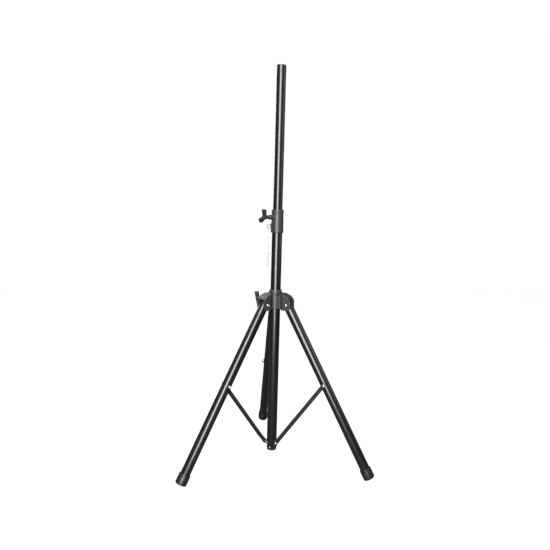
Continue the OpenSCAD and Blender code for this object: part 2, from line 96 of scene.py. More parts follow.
def roundedLoop(points, steps=4):  # closed loop of (x, y, corner radius)
    loop = []
    for i, (x, y, radius) in enumerate(points):
        corner = Vector((x, y))
        toLast = Vector(points[i - 1][:2]) - corner
        toNext = Vector(points[(i + 1) % len(points)][:2]) - corner
        angle = toLast.angle(toNext) if toLast.length and toNext.length else math.pi
        if radius <= 0 or angle > math.pi - 0.02:
            loop.append((x, y))
            continue
        half = math.tan(angle / 2)
        reach = min(radius / half, 0.48 * toLast.length, 0.48 * toNext.length)
        centre = corner + (toLast.normalized()
                           + toNext.normalized()).normalized() * reach * half / math.sin(angle / 2)
        start = corner + toLast.normalized() * reach - centre
        end = corner + toNext.normalized() * reach - centre
        sweep = math.atan2(start.x * end.y - start.y * end.x, start.dot(end))
        for k in range(steps + 1):
            a = math.atan2(start.y, start.x) + sweep * k / steps
            loop.append((centre.x + start.length * math.cos(a), centre.y + start.length * math.sin(a)))
    return loop


def lathed(points, segments=64, steps=4):  # a closed loop of (radius, height, corner radius) turned about Z
    loop = roundedLoop(points, steps)
    verts, rings = [], []
    for r, z in loop:
        if r < 1e-6:
            rings.append([len(verts)])
            verts.append((0, 0, z))
        else:
            rings.append(list(range(len(verts), len(verts) + segments)))
            for k in range(segments):
                a = 2 * math.pi * k / segments
                verts.append((r * math.cos(a), r * math.sin(a), z))
    faces = []
    for i, low in enumerate(rings):
        high = rings[(i + 1) % len(rings)]
        for k in range(segments):
            n = (k + 1) % segments
            if len(low) == 1 and len(high) == 1:
                continue
            if len(low) == 1:
                faces.append((low[0], high[n], high[k]))
            elif len(high) == 1:
                faces.append((low[k], low[n], high[0]))
            else:
                faces.append((low[k], low[n], high[n], high[k]))
    return verts, faces


# a tube along points, with one radius for each
def swept(path, radii, sides=16, lobes=0, lobeDepth=0, twist=0):
    verts, faces = [], []
    side = None
    for i, point in enumerate(path):
        along = (path[min(i + 1, len(path) - 1)] - path[max(i - 1, 0)]).normalized()
        side = along.orthogonal().normalized() if side is None else (side - along
                                                                     * side.dot(along)).normalized()
        other = along.cross(side)
        for k in range(sides):
            a = 2 * math.pi * k / sides
            r = radii[i] - lobeDepth * (0.5 - 0.5
                                        * math.cos(lobes * (a - twist * i))) if lobes else radii[i]
            verts.append(point + r * (math.cos(a) * side + math.sin(a) * other))
        if i:
            base = (i - 1) * sides
            for k in range(sides):
                n = (k + 1) % sides
                faces.append((base + k, base + n, base + sides + n, base + sides + k))
    last = (len(path) - 1) * sides
    faces.append(tuple(range(sides - 1, -1, -1)))
    faces.append(tuple(range(last, last + sides)))
    return verts, faces


def block(low, high):
    (a, b, c), (d, e, f) = low, high
    verts = [(a, b, c), (d, b, c), (d, e, c), (a, e, c), (a, b, f), (d, b, f), (d, e, f), (a, e, f)]
    return verts, [(0, 3, 2, 1), (4, 5, 6, 7), (0, 1, 5, 4), (1, 2, 6, 5), (2, 3, 7, 6), (3, 0, 4, 7)]


def placed(form, *steps):
    matrix = Matrix.Identity(4)
    for step in steps:
        matrix = matrix @ step
    return [matrix @ Vector(v) for v in form[0]], form[1]


def together(*forms):
    verts, faces = [], []
    for form in forms:
        base = len(verts)
        verts += list(form[0])
        faces += [tuple(base + i for i in face) for face in form[1]]
    return verts, faces


def meshOf(name, form):
    mesh = bpy.data.meshes.new(name)
    mesh.from_pydata([tuple(c * mm for c in v) for v in form[0]], [], form[1])
    work = bmesh.new()
    work.from_mesh(mesh)
    bmesh.ops.recalc_face_normals(work, faces=work.faces)
    work.to_mesh(mesh)
    work.free()
    return mesh


def settle(piece, sharp=32):  # applies the modifiers and shades the result
    bpy.context.view_layer.update()
    finished = bpy.data.meshes.new_from_object(piece.evaluated_get(bpy.context.evaluated_depsgraph_get()))
    piece.modifiers.clear()
    piece.data = finished
    finished.shade_smooth()
    finished.set_sharp_from_angle(angle=math.radians(sharp))


def cutAway(piece, forms):
    cutter = bpy.data.objects.new("cutter", meshOf("cutter", together(*forms)))
    scene.collection.objects.link(cutter)
    step = piece.modifiers.new("cut", "BOOLEAN")
    step.operation, step.object, step.solver = "DIFFERENCE", cutter, "EXACT"
    step.use_self = len(forms) > 1
    settle(piece)
    bpy.data.objects.remove(cutter)


def newPiece(name, form, body, finish, nodes=(), place=None, sharp=32, cuts=()):
    piece = bpy.data.objects.new(name, meshOf(name, form))
    scene.collection.objects.link(piece)
    if cuts:
        cutAway(piece, cuts)
    piece.data.shade_smooth()
    piece.data.set_sharp_from_angle(angle=math.radians(sharp))
    if place is not None:
        piece.matrix_world = Matrix.Translation(place.to_translation() * mm) @ place.to_3x3().to_4x4()
    return dress(piece, body, finish, nodes)


def dress(piece, body, finish, nodes):
    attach(piece, body)
    if nodes:
        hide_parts(*([nodes] if isinstance(nodes, str) else nodes))
    piece.data.materials.clear()
    piece.data.materials.append(finishes[finish])
    return piece


def moulded(name, node, body, finish, s, extra=(), cuts=()):  # softened copy of a solid, ribs added first
    piece = bpy.data.objects.new(name, frame["nodes"][node].data.copy())
    scene.collection.objects.link(piece)
    if extra:
        added = bpy.data.objects.new("added", meshOf("added", together(*extra)))
        scene.collection.objects.link(added)
        work = bmesh.new()
        work.from_mesh(piece.data)
        work.from_mesh(added.data)
        work.to_mesh(piece.data)
        work.free()
        bpy.data.objects.remove(added)
    remesh = piece.modifiers.new("even", "REMESH")
    remesh.mode, remesh.voxel_size = "VOXEL", s["voxel"] * mm
    soften = piece.modifiers.new("soften", "SMOOTH")
    soften.factor, soften.iterations = 0.5, s["passes"]
    if s.get("thin"):
        thin = piece.modifiers.new("thin", "DECIMATE")
        thin.ratio = s["thin"]
    settle(piece, 60)
    if cuts:
        cutAway(piece, cuts)
    return dress(piece, body, finish, node)


# shader groups

def newGroup(name, inputs, outputs):
    group = bpy.data.node_groups.new(name, "ShaderNodeTree")
    for socket, kind, value in inputs:
        made = group.interface.new_socket(name=socket, in_out="INPUT", socket_type="NodeSocket" + kind)
        made.default_value = value
    for socket, kind in outputs:
        group.interface.new_socket(name=socket, in_out="OUTPUT", socket_type="NodeSocket" + kind)
    return group, group.nodes.new("NodeGroupInput"), group.nodes.new("NodeGroupOutput")


def addNode(tree, kind, values=None, **options):
    node = tree.nodes.new("ShaderNode" + kind)
    for key, value in options.items():
        setattr(node, key, value)
    for key, value in (values or {}).items():
        node.inputs[key].default_value = value
    return node


def joinUp(tree, *pairs):
    for source, target in pairs:
        tree.links.new(source, target)


def blendColours(tree, factor, first, second, mode="MIX"):
    mix = addNode(tree, "Mix", data_type="RGBA", blend_type=mode)
    for value, socket in ((factor, mix.inputs["Factor"]), (first, mix.inputs["A"]),
                          (second, mix.inputs["B"])):
        if isinstance(value, bpy.types.NodeSocket):
            tree.links.new(value, socket)
        else:
            socket.default_value = value
    return mix.outputs["Result"]


def calculate(tree, operation, *values, clamp=False):
    node = addNode(tree, "Math", operation=operation, use_clamp=clamp)
    for i, value in enumerate(values):
        if isinstance(value, bpy.types.NodeSocket):
            tree.links.new(value, node.inputs[i])
        else:
            node.inputs[i].default_value = value
    return node.outputs[0]


def rangeMap(tree, value, low, high, toLow=0.0, toHigh=1.0):
    node = addNode(tree, "MapRange")
    tree.links.new(value, node.inputs["Value"])
    for key, end in (("From Min", low), ("From Max", high), ("To Min", toLow), ("To Max", toHigh)):
        if isinstance(end, bpy.types.NodeSocket):
            tree.links.new(end, node.inputs[key])
        else:
            node.inputs[key].default_value = end
    return node.outputs["Result"]


def scaledCoords(tree, scale):  # object coordinates stretched by a vector
    coords = addNode(tree, "TexCoord")
    mapping = addNode(tree, "Mapping")
    mapping.inputs["Scale"].default_value = scale
    tree.links.new(coords.outputs["Object"], mapping.inputs["Vector"])
    return mapping.outputs["Vector"]


def coatGroup():  # sprayed powder coat: orange peel, soft tone changes, fine speckle
    g, into, out = newGroup("Powder coat", [
        ("Colour", "Color", (0.01, 0.01, 0.011, 1)), ("Tone Change", "Float", 0.3),
        ("Roughness", "Float", 0.3),
        ("Roughness Change", "Float", 0.06), ("Peel Size", "Float", 900.0), ("Peel Depth", "Float", 0.5),
    ], [("Colour", "Color"), ("Roughness", "Float"), ("Height", "Float")])
    coords = scaledCoords(g, (1, 1, 1))
    peel = addNode(g, "TexNoise", {"Detail": 2.0, "Roughness": 0.45})
    drift = addNode(g, "TexNoise", {"Scale": 22.0, "Detail": 4.0})
    speckle = addNode(g, "TexVoronoi", {"Scale": 2600.0})
    joinUp(g, (coords, peel.inputs["Vector"]), (coords, drift.inputs["Vector"]),
           (coords, speckle.inputs["Vector"]), (into.outputs["Peel Size"], peel.inputs["Scale"]))
    tone = calculate(g, "MULTIPLY", calculate(g, "SUBTRACT", drift.outputs["Fac"], 0.5),
                     into.outputs["Tone Change"])
    bright = calculate(g, "ADD", 1.0, tone)
    grains = rangeMap(g, speckle.outputs["Distance"], 0.0, 0.5, 1.12, 0.96)
    scaled = addNode(g, "VectorMath", operation="SCALE")
    joinUp(g, (into.outputs["Colour"], scaled.inputs[0]),
           (calculate(g, "MULTIPLY", bright, grains), scaled.inputs["Scale"]))
    rough = calculate(g, "MULTIPLY", calculate(g, "SUBTRACT", drift.outputs["Fac"], 0.5),
                      into.outputs["Roughness Change"])
    joinUp(g, (scaled.outputs[0], out.inputs["Colour"]),
           (calculate(g, "ADD", into.outputs["Roughness"], rough, clamp=True), out.inputs["Roughness"]),
           (calculate(g, "MULTIPLY", peel.outputs["Fac"], into.outputs["Peel Depth"]),
            out.inputs["Height"]))
    return g


def grainGroup():  # spark-eroded grain of a moulding, with flow marks
    g, into, out = newGroup("Mould grain", [
        ("Colour", "Color", (0.02, 0.02, 0.021, 1)), ("Tone Change", "Float", 0.3),
        ("Roughness", "Float", 0.5), ("Grain Size", "Float", 1500.0), ("Grain Depth", "Float", 1.0),
    ], [("Colour", "Color"), ("Roughness", "Float"), ("Height", "Float")])
    coords = scaledCoords(g, (1, 1, 1))
    cells = addNode(g, "TexVoronoi", feature="SMOOTH_F1")
    fine = addNode(g, "TexNoise", {"Scale": 3200.0, "Detail": 2.0})
    flow = addNode(g, "TexNoise", {"Scale": 38.0, "Detail": 5.0, "Distortion": 0.6})
    joinUp(g, (coords, cells.inputs["Vector"]), (coords, fine.inputs["Vector"]),
           (coords, flow.inputs["Vector"]), (into.outputs["Grain Size"], cells.inputs["Scale"]))
    tone = calculate(g, "MULTIPLY", calculate(g, "SUBTRACT", flow.outputs["Fac"], 0.5),
                     into.outputs["Tone Change"])
    pits = rangeMap(g, cells.outputs["Distance"], 0.0, 0.6, 0.9, 1.1)
    scaled = addNode(g, "VectorMath", operation="SCALE")
    joinUp(g, (into.outputs["Colour"], scaled.inputs[0]),
           (calculate(g, "MULTIPLY", calculate(g, "ADD", 1.0, tone), pits), scaled.inputs["Scale"]))
    rough = calculate(g, "MULTIPLY", calculate(g, "SUBTRACT", fine.outputs["Fac"], 0.5), 0.14)
    bumps = calculate(g, "ADD", cells.outputs["Distance"],
                      calculate(g, "MULTIPLY", fine.outputs["Fac"], 0.35))
    joinUp(g, (scaled.outputs[0], out.inputs["Colour"]),
           (calculate(g, "ADD", into.outputs["Roughness"], rough, clamp=True), out.inputs["Roughness"]),
           (calculate(g, "MULTIPLY", bumps, into.outputs["Grain Depth"]), out.inputs["Height"]))
    return g


def wearGroup():  # rubbed edges, found where the surface turns outward
    g, into, out = newGroup("Edge wear", [
        ("Colour", "Color", (0.02, 0.02, 0.02, 1)), ("Worn Colour", "Color", (0.08, 0.08, 0.08, 1)),
        ("Roughness", "Float", 0.5), ("Worn Roughness", "Float", 0.35), ("Amount", "Float", 0.5),
    ], [("Colour", "Color"), ("Roughness", "Float"), ("Mask", "Float")])
    shape = addNode(g, "NewGeometry")
    patches = addNode(g, "TexNoise", {"Scale": 160.0, "Detail": 5.0, "Roughness": 0.6})
    joinUp(g, (scaledCoords(g, (1, 1, 1)), patches.inputs["Vector"]))
    edge = rangeMap(g, shape.outputs["Pointiness"], 0.515, 0.58)
    broken = rangeMap(g, patches.outputs["Fac"], 0.35, 0.7)
    mask = calculate(g, "MULTIPLY", calculate(g, "MULTIPLY", edge, broken), into.outputs["Amount"],
                     clamp=True)
    rough = rangeMap(g, mask, 0.0, 1.0, into.outputs["Roughness"], into.outputs["Worn Roughness"])
    joinUp(g, (blendColours(g, mask, into.outputs["Colour"], into.outputs["Worn Colour"]),
               out.inputs["Colour"]),
           (rough, out.inputs["Roughness"]), (mask, out.inputs["Mask"]))
    return g


def dustGroup():  # pale dust that settles on what faces up
    g, into, out = newGroup("Settled dust", [
        ("Colour", "Color", (0.02, 0.02, 0.02, 1)), ("Roughness", "Float", 0.4), ("Amount", "Float", 0.1),
    ], [("Colour", "Color"), ("Roughness", "Float")])
    shape = addNode(g, "NewGeometry")
    split = addNode(g, "SeparateXYZ")
    specks = addNode(g, "TexNoise", {"Scale": 420.0, "Detail": 6.0, "Roughness": 0.7})
    joinUp(g, (shape.outputs["Normal"], split.inputs[0]),
           (scaledCoords(g, (1, 1, 1)), specks.inputs["Vector"]))
    facing = rangeMap(g, split.outputs["Z"], 0.1, 1.0)
    patchy = rangeMap(g, specks.outputs["Fac"], 0.42, 0.75)
    mask = calculate(g, "MULTIPLY", calculate(g, "MULTIPLY", facing, patchy), into.outputs["Amount"],
                     clamp=True)
    joinUp(g, (blendColours(g, mask, into.outputs["Colour"], (0.32, 0.31, 0.29, 1)), out.inputs["Colour"]),
           (rangeMap(g, mask, 0.0, 1.0, into.outputs["Roughness"], 0.85), out.inputs["Roughness"]))
    return g


def slideMarksGroup():  # fine lengthwise rub marks on a tube that runs in a bush, along local Z
    g, into, out = newGroup("Slide marks", [
        ("Colour", "Color", (0.02, 0.02, 0.02, 1)), ("Roughness", "Float", 0.3), ("Amount", "Float", 0.3),
    ], [("Colour", "Color"), ("Roughness", "Float")])
    streaks = addNode(g, "TexNoise", {"Scale": 1.0, "Detail": 3.0, "Roughness": 0.6})
    spread = addNode(g, "TexNoise", {"Scale": 6.0, "Detail": 2.0})
    joinUp(g, (scaledCoords(g, (900, 900, 5)), streaks.inputs["Vector"]),
           (scaledCoords(g, (1, 1, 1)), spread.inputs["Vector"]))
    lines = rangeMap(g, streaks.outputs["Fac"], 0.62, 0.74)
    where = rangeMap(g, spread.outputs["Fac"], 0.42, 0.62)
    mask = calculate(g, "MULTIPLY", calculate(g, "MULTIPLY", lines, where), into.outputs["Amount"],
                     clamp=True)
    joinUp(g, (blendColours(g, mask, into.outputs["Colour"], (0.055, 0.055, 0.058, 1)),
               out.inputs["Colour"]),
           (calculate(g, "ADD", into.outputs["Roughness"], calculate(g, "MULTIPLY", mask, 0.22),
                      clamp=True), out.inputs["Roughness"]))
    return g


def platingGroup():  # bright plating: soft cloudiness and fine scratches
    g, into, out = newGroup("Bright plating", [
        ("Colour", "Color", (0.7, 0.7, 0.71, 1)), ("Dull Colour", "Color", (0.4, 0.4, 0.42, 1)),
        ("Roughness", "Float", 0.18), ("Cloud Size", "Float", 260.0), ("Scratch Depth", "Float", 0.4),
    ], [("Colour", "Color"), ("Roughness", "Float"), ("Height", "Float")])
    coords = scaledCoords(g, (1, 1, 1))
    cloud = addNode(g, "TexNoise", {"Detail": 4.0})
    fine = addNode(g, "TexNoise", {"Scale": 1.0, "Detail": 2.0})
    joinUp(g, (coords, cloud.inputs["Vector"]), (into.outputs["Cloud Size"], cloud.inputs["Scale"]),
           (scaledCoords(g, (6000, 500, 2600)), fine.inputs["Vector"]))
    dull = rangeMap(g, cloud.outputs["Fac"], 0.45, 0.8)
    rough = calculate(g, "ADD", into.outputs["Roughness"], calculate(g, "MULTIPLY", dull, 0.16), clamp=True)
    joinUp(g, (blendColours(g, dull, into.outputs["Colour"], into.outputs["Dull Colour"]),
               out.inputs["Colour"]),
           (rough, out.inputs["Roughness"]),
           (calculate(g, "MULTIPLY", fine.outputs["Fac"], into.outputs["Scratch Depth"]),
            out.inputs["Height"]))
    return g


coat, mouldGrain, edgeWear = coatGroup(), grainGroup(), wearGroup()
settledDust, slideMarks, plating = dustGroup(), slideMarksGroup(), platingGroup()


# a chain of groups into one Principled BSDF
def newFinish(name, steps, bump=0.0, bumpDistance=0.0001, **values):
    material = bpy.data.materials.new(name)
    material.use_nodes = True
    tree = material.node_tree
    shader = tree.nodes["Principled BSDF"]
    for socket, value in values.items():
        shader.inputs[socket.replace("_", " ")].default_value = value
    carried, height = {}, None
    for group, settings in steps:
        node = tree.nodes.new("ShaderNodeGroup")
        node.node_tree = group
        for key, value in settings.items():
            node.inputs[key].default_value = value
        for key, source in carried.items():
            tree.links.new(source, node.inputs[key])
        carried = {"Colour": node.outputs["Colour"], "Roughness": node.outputs["Roughness"]}
        height = node.outputs.get("Height") or height
    joinUp(tree, (carried["Colour"], shader.inputs["Base Color"]),
           (carried["Roughness"], shader.inputs["Roughness"]))
    if bump and height:
        relief = addNode(tree, "Bump", {"Strength": bump, "Distance": bumpDistance})
        joinUp(tree, (height, relief.inputs["Height"]), (relief.outputs["Normal"], shader.inputs["Normal"]))
    return material


tubeCoat = {"Colour": (0.003, 0.003, 0.0033, 1), "Tone Change": 0.4, "Roughness": 0.3,
            "Roughness Change": 0.04, "Peel Size": 1100.0, "Peel Depth": 0.3}
strutCoat = {"Colour": (0.011, 0.011, 0.012, 1), "Tone Change": 0.5, "Roughness": 0.34,
             "Roughness Change": 0.12, "Peel Size": 700.0, "Peel Depth": 0.8}
hubGrain = {"Colour": (0.018, 0.018, 0.019, 1), "Tone Change": 0.35, "Roughness": 0.42,
            "Grain Size": 1300.0, "Grain Depth": 1.0}
knobGrain = {"Colour": (0.014, 0.014, 0.015, 1), "Tone Change": 0.3, "Roughness": 0.4,
             "Grain Size": 1600.0, "Grain Depth": 0.8}
plugGrain = {"Colour": (0.012, 0.012, 0.012, 1), "Tone Change": 0.3, "Roughness": 0.45,
             "Grain Size": 1500.0, "Grain Depth": 0.9}
washerGrain = {"Colour": (0.012, 0.012, 0.012, 1), "Tone Change": 0.25, "Roughness": 0.4,
               "Grain Size": 1800.0, "Grain Depth": 0.5}
nylonGrain = {"Colour": (0.05, 0.05, 0.052, 1), "Tone Change": 0.25, "Roughness": 0.42,
              "Grain Size": 2000.0, "Grain Depth": 0.4}
rubberGrain = {"Colour": (0.006, 0.006, 0.0058, 1), "Tone Change": 0.5, "Roughness": 0.38,
               "Grain Size": 900.0, "Grain Depth": 1.2}
plasticWear = {"Worn Colour": (0.075, 0.075, 0.078, 1), "Worn Roughness": 0.34, "Amount": 0.55}
coatWear = {"Worn Colour": (0.06, 0.06, 0.062, 1), "Worn Roughness": 0.3, "Amount": 0.4}

finishes = {
    "tube_paint": newFinish("tubePowderCoat", [(coat, tubeCoat), (slideMarks, {"Amount": 0.18}),
                                               (settledDust, {"Amount": 0.08})],
                            bump=0.005, Specular_IOR_Level=0.5, Coat_Weight=0.3, Coat_Roughness=0.22),
    "strut_paint": newFinish("strutPowderCoat", [(coat, strutCoat), (edgeWear, coatWear),
                                                 (settledDust, {"Amount": 0.12})],
                             bump=0.07, Coat_Weight=0.15, Coat_Roughness=0.2),
    "hub_plastic": newFinish("hubNylon", [(mouldGrain, hubGrain), (edgeWear, plasticWear),
                                          (settledDust, {"Amount": 0.12})],
                             bump=0.12),
    "knob_plastic": newFinish("knobNylon", [(mouldGrain, knobGrain), (edgeWear, plasticWear),
                                            (settledDust, {"Amount": 0.1})],
                              bump=0.1),
    "plug_plastic": newFinish("plugPlastic", [(mouldGrain, plugGrain), (edgeWear, plasticWear),
                                              (settledDust, {"Amount": 0.1})],
                              bump=0.1),
    "washer_plastic": newFinish("washerPlastic", [(mouldGrain, washerGrain),
                                                  (settledDust, {"Amount": 0.05})], bump=0.06),
    "nylon": newFinish("glideNylon", [(mouldGrain, nylonGrain), (settledDust, {"Amount": 0.05})],
                       bump=0.05),
    "foot_rubber": newFinish("footRubber", [(mouldGrain, rubberGrain),
                                            (edgeWear, {"Worn Colour": (0.05, 0.049, 0.047, 1),
                             "Worn Roughness": 0.5, "Amount": 0.35}), (settledDust, {"Amount": 0.08})],
                             bump=0.08),
    "chrome": newFinish("brightZinc", [(plating, {"Colour": (0.66, 0.66, 0.68, 1), "Roughness": 0.16})],
                        bump=0.03, Metallic=1.0),
    "lanyard_steel": newFinish("wireRopeSteel", [(plating,
        {"Colour": (0.42, 0.42, 0.43, 1), "Dull Colour": (0.34, 0.34, 0.35, 1),
                               "Roughness": 0.5})], bump=0.05, Metallic=0.25),
    "pin_steel": newFinish("satinZinc", [(plating, {"Colour": (0.46, 0.46, 0.47, 1),
                                                    "Dull Colour": (0.38, 0.38, 0.39, 1),
                           "Roughness": 0.42})], bump=0.03, Metallic=0.35),
    "ring_steel": newFinish("darkSpringSteel", [(plating,
        {"Colour": (0.02, 0.02, 0.021, 1), "Dull Colour": (0.01, 0.01, 0.0105, 1),
                            "Roughness": 0.35})], bump=0.03, Metallic=1.0),
    "brass_insert": newFinish("brass", [(plating, {"Colour": (0.16, 0.12, 0.06, 1),
                                                   "Dull Colour": (0.07, 0.05, 0.03, 1),
                              "Roughness": 0.42})], bump=0.05, Metallic=1.0),
}
for entry in frame["record"]["subparts"]:  # inner parts keep their own solids
    inner = frame["nodes"][entry["node"]]
    inner.data.materials.clear()
    inner.data.materials.append(finishes[entry["material_slot"]])
print("finishes made")


# lanyard, the one cord: wire rope hanging from the split ring's eye to the safety pin

rope = {"azimuth": 157, "reach": 34.6, "top": 887.8, "drop": 86, "bow": 0.6, "radius": 0.8, "strands": 6,
        "lay": 9.0}


def hangLanyard(s):
    spot = turnZ(s["azimuth"])
    route = [spot @ Vector((s["reach"] + s["bow"] * math.sin(math.radians(9 * i)) ** 2, 0,
                            s["top"] - s["drop"] * i / 20))
             for i in range(21)]
    fine = []
    for i in range(20):
        for k in range(6):
            fine.append(route[i].lerp(route[i + 1], k / 6))
    fine.append(route[-1])
    turnPerStep = 2 * math.pi * (s["drop"] / (len(fine) - 1)) / s["lay"]
    form = swept(fine, [s["radius"]] * len(fine), 30, s["strands"], 0.2, turnPerStep)
    piece = newPiece("lanyard_wire_rope", form, "tethered_pin", "lanyard_steel", "lanyard", sharp=50)
    length = sum((b - a).length for a, b in zip(route, route[1:])) * mm
    return piece, [p * mm for p in route], length


lanyardRope, lanyardPath, lanyardLength = hangLanyard(rope)

pinSizes = {"azimuth": 157, "reach": 34.6, "top": 800.8, "headRadius": 4.6, "headLength": 7, "radius": 4,
            "length": 49, "ballRadius": 1.45}
ferruleSizes = {"radius": 1.7, "length": 7, "crimp": 0.22, "eyeRadius": 2.4, "eyeWire": 0.7}


def crimpedSleeve(s):
    r, n = s["radius"], s["length"]
    dip = r - s["crimp"]
    return lathed([(0.86, 0, 0.1), (r, 0, 0.35), (r, 1.6, 0.3), (dip, 2.0, 0.3), (dip, 2.8, 0.3),
                   (r, 3.2, 0.3), (r, 3.9, 0.3),
                   (dip, 4.3, 0.3), (dip, 5.1, 0.3), (r, 5.5, 0.3), (r, n, 0.35), (0, n, 0),
                   (0, n - 1, 0), (0.86, n - 1, 0)], 32, 3)


def ringForm(radius, wire, sides=16, segments=40):
    verts, faces = [], []
    for i in range(segments):
        a = 2 * math.pi * i / segments
        for k in range(sides):
            b = 2 * math.pi * k / sides
            r = radius + wire * math.cos(b)
            verts.append((r * math.cos(a), r * math.sin(a), wire * math.sin(b)))
    for i in range(segments):
        for k in range(sides):
            n, m = (i + 1) % segments * sides, (k + 1) % sides
            faces.append((i * sides + k, n + k, n + m, i * sides + m))
    return verts, faces


def hangPin(s, f):
    spot = turnZ(s["azimuth"]) @ shift(s["reach"], 0, 0)
    lowEnd = s["top"] - s["headLength"] - s["length"]
    top = placed(crimpedSleeve(f), spot, shift(0, 0, 888.8 - f["length"]))
    eye = placed(ringForm(f["eyeRadius"], f["eyeWire"]), spot, shift(0, 0, 891.4), turnY(90))
    upper = newPiece("lanyard_top_crimp", together(top, eye), "tethered_pin", "pin_steel",
                     "lanyard_top_ferrule")
    lower = newPiece("lanyard_bottom_crimp", placed(crimpedSleeve(f), spot,
                                                    shift(0, 0, s["top"] + f["length"]), turnX(180)),
                     "tethered_pin", "pin_steel", "lanyard_bottom_ferrule")
    h, r = s["headRadius"], s["radius"]
    form = lathed([(0, 0, 0), (2.5, 0, 0.5), (3.4, -0.9, 0.6), (h, -2, 0.7), (h, -3, 0.2),
                   (h - 0.25, -3.2, 0.15),
                   (h - 0.25, -3.8, 0.15), (h, -4, 0.2), (h, -5, 0.7), (3.0, -6.3, 0.8), (2.8, -6.6, 0.3),
                   (r, -7, 0.3),
                   (r, -s["headLength"] - s["length"] + 2, 0.8),
                   (r - 1.5, -s["headLength"] - s["length"], 0.4),
                   (0, -s["headLength"] - s["length"], 0)], 48)
    pocket = placed(lathed([(0, 1.2, 0), (1.5, 1.2, 0), (1.5, 6, 0), (0, 6, 0)], 32),
                    shift(0, 0, lowEnd - s["top"] + 8), turnY(90))
    pin = newPiece("safety_pin_turned", placed(form, spot, shift(0, 0, s["top"])), "tethered_pin",
                   "pin_steel", "safety_pin", cuts=[placed(pocket, spot, shift(0, 0, s["top"]))])
    ball = ([], [])
    rings = [(0, -s["ballRadius"], 0)] + [(s["ballRadius"] * math.sin(math.radians(a)),
                                           -s["ballRadius"] * math.cos(math.radians(a)), 0)
                                        for a in range(15, 180, 15)] + [(0, s["ballRadius"], 0)]
    ball = placed(lathed(rings, 32), spot, shift(r - 0.9, 0, lowEnd + 8))
    detent = newPiece("pin_detent_ball", ball, "tethered_pin", "pin_steel", "safety_pin_detent_ball",
                      sharp=60)
    return [upper, lower, pin, detent]


pinPieces = hangPin(pinSizes, ferruleSizes)
print("lanyard and safety pin hung")


# split ring: two close turns of one wire, stepping across at one place

splitRing = {"azimuth": 157, "reach": 32.1, "height": 898.2, "radius": 7.2, "wire": 0.7, "apart": 0.72}


def bendSplitRing(s):
    path = []
    for i in range(145):
        turn = i / 72
        step = min(max((turn - 0.93) / 0.14, 0), 1)
        step = step * step * (3 - 2 * step)
        a = 2 * math.pi * turn + 1.9
        path.append(Vector((s["radius"] * math.cos(a), s["radius"] * math.sin(a),
                            s["apart"] * (2 * step - 1))))
    radii = [s["wire"] * min(1, 0.72 + 0.14 * i) * min(1, 0.72 + 0.14 * (144 - i)) for i in range(145)]
    form = swept(path, radii, 14)
    newPiece("split_ring_two_turns", placed(form, turnZ(s["azimuth"]), shift(s["reach"], 0, s["height"]),
                                            turnX(90)), "mast_base",
             "ring_steel", "split_ring", sharp=50)


bendSplitRing(splitRing)


# mast tubes

upperTube = {"radius": 17.5, "wall": 1.5, "low": 470, "high": 1468.5, "holeRadius": 4.25,
             "firstHole": 560, "holes": 6, "pitch": 90, "scribe": 1349}


def makeUpperTube(s):
    r, inner, low = s["radius"], s["radius"] - s["wall"], s["low"]
    profile = [(inner, low, 0.3), (r, low, 0.5), (r, s["scribe"], 0.1), (r - 0.3, s["scribe"] + 0.25, 0.1),
               (r - 0.3, s["scribe"] + 0.75, 0.1), (r, s["scribe"] + 1, 0.1), (r, s["high"], 0.6),
               (inner, s["high"], 0.3)]
    drill = lathed([(0, -30, 0), (s["holeRadius"], -30, 0), (s["holeRadius"], 30, 0), (0, 30, 0)], 40)
    holes = [placed(drill, shift(0, 0, s["firstHole"] + i * s["pitch"]), turnY(90)) for i in range(s["holes"])]
    newPiece("upper_mast_tube", lathed(profile, 128), "upper_mast", "tube_paint", "upper_tube", cuts=holes)
    cap = [(0, s["high"] - 18.5, 0), (14.2, s["high"] - 18.5, 0.6), (14.2, s["high"] - 17, 0),
           (16, s["high"] - 17, 0.4), (16, s["high"], 0), (17.2, s["high"], 0.1),
           (17.2, s["high"] + 1.5, 0.9), (13.4, s["high"] + 1.5, 0.4), (12.8, s["high"] + 0.9, 0.4),
           (0, s["high"] + 0.9, 0)]
    newPiece("mast_top_cap", lathed(cap, 96), "upper_mast", "plug_plastic", "upper_tube_top_plug")


makeUpperTube(upperTube)

mainTube = {"radius": 19, "wall": 1.2, "low": 44, "high": 950, "padAzimuth": 204, "padHeight": 931,
            "rivetHeight": 50, "rivetAzimuths": (0, 120, 240)}


def makeMainTube(s):
    r, inner = s["radius"], s["radius"] - s["wall"]
    profile = [(inner, s["low"], 0.3), (r, s["low"], 0.45), (r, s["high"], 0.45), (inner, s["high"], 0.3)]
    cuts = [placed(lathed([(0, 5, 0), (4.9, 5, 0), (4.9, 30, 0), (0, 30, 0)], 32),
                   outward(s["padAzimuth"], s["padHeight"]))]
    cuts += [placed(block((13, -12.8, 43), (21, -5, 80)), turnZ(az)) for az in legAngles.values()]
    cuts += [placed(lathed([(0, 15, 0), (2, 15, 0), (2, 22, 0), (0, 22, 0)], 24),
                    outward(az, s["rivetHeight"]))
             for az in s["rivetAzimuths"]]
    newPiece("main_mast_tube", lathed(profile, 128), "mast_base", "tube_paint", "main_tube", cuts=cuts)


makeMainTube(mainTube)
print("mast tubes made")


# clamp collar and its knob

collar = {"voxel": 0.5, "passes": 5}
moulded("clamp_collar_moulding", "clamp_collar", "mast_base", "hub_plastic", collar)

# face is the distance from the mast's axis to the grip's outer face
collarKnob = {"azimuth": 204, "height": 931, "face": 60, "voxel": 0.42, "passes": 7}
hubKnob = {"azimuth": 150, "height": 621, "face": 79, "voxel": 0.42, "passes": 7}
dimple = [(0, 0, 0), (4.2, 0, 0.5), (4.9, 2.2, 0), (0, 2.2, 0)]
dimpleDepth = 1.0


